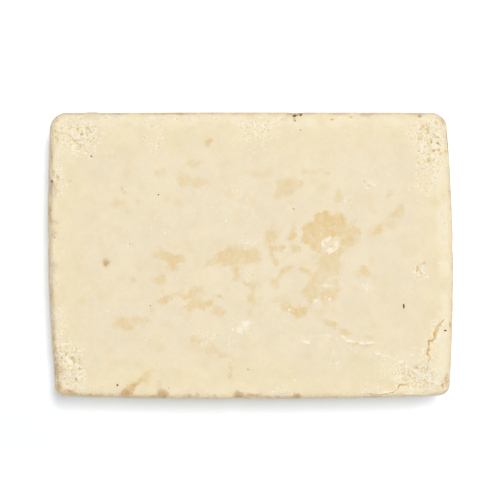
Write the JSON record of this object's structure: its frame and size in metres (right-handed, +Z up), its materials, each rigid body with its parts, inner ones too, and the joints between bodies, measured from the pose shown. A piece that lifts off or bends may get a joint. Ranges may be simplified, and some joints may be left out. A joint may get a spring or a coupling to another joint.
{
  "type": "bar of soap",
  "caption": "Rectangular hand-cut bar of hard soap with bowed sides, rounded corners and rims, a cracked corner, a chipped corner and crumbled hollows.",
  "frame": {"origin": "centre of the underside, on the surface that the bar rests on", "axes": "+X along the bar's length, +Y across its width, +Z up through its thickness"},
  "size_m": [0.09, 0.0638, 0.025],
  "materials": {
    "soap": "satin, waxy, translucent at thin edges; cream hard soap, dry and crumbling"
  },
  "bodies": {
    "root": {"soap_bar": "soap"}
  },
  "joints": []
}
